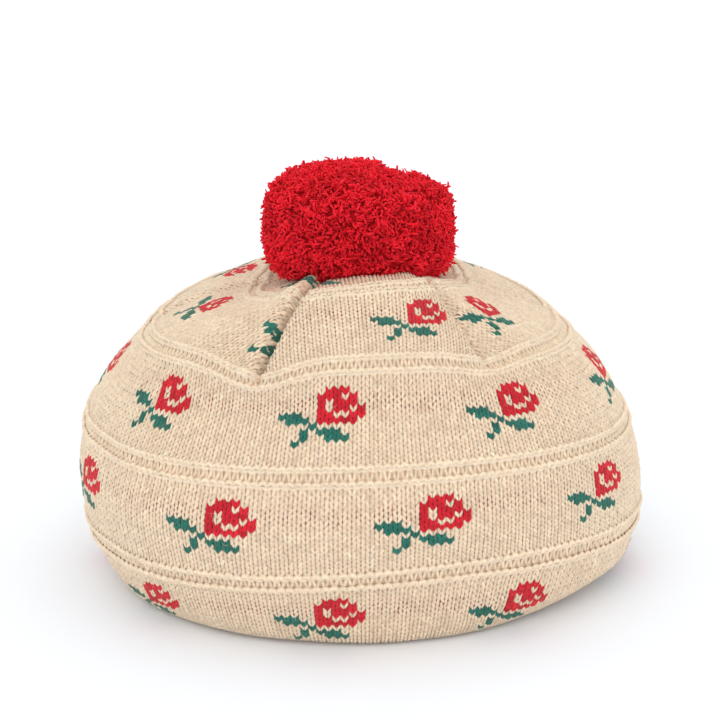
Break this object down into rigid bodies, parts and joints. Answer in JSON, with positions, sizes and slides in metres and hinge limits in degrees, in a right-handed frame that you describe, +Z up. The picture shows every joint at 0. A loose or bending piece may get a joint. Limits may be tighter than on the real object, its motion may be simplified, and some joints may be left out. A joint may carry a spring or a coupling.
{
  "type": "knitted beret with pompom",
  "caption": "Full knitted beret with a gathered crown, raised purl ridges, a ribbed head opening and a large yarn pompom on top.",
  "frame": {"origin": "under the middle of the hat, on the plane it rests on", "axes": "+Z up through the crown, front towards -Y, right of the hat as seen from the front towards +X"},
  "size_m": [0.2828, 0.2546, 0.2053],
  "materials": {
    "knit": "cream wool stockinette with red and teal rose sprigs",
    "band": "cream wool rib",
    "pompom_yarn": "cut crimson wool yarn"
  },
  "bodies": {
    "root": {"knit_body": "knit", "rib_band": "band", "pompom": "pompom_yarn"}
  },
  "joints": []
}
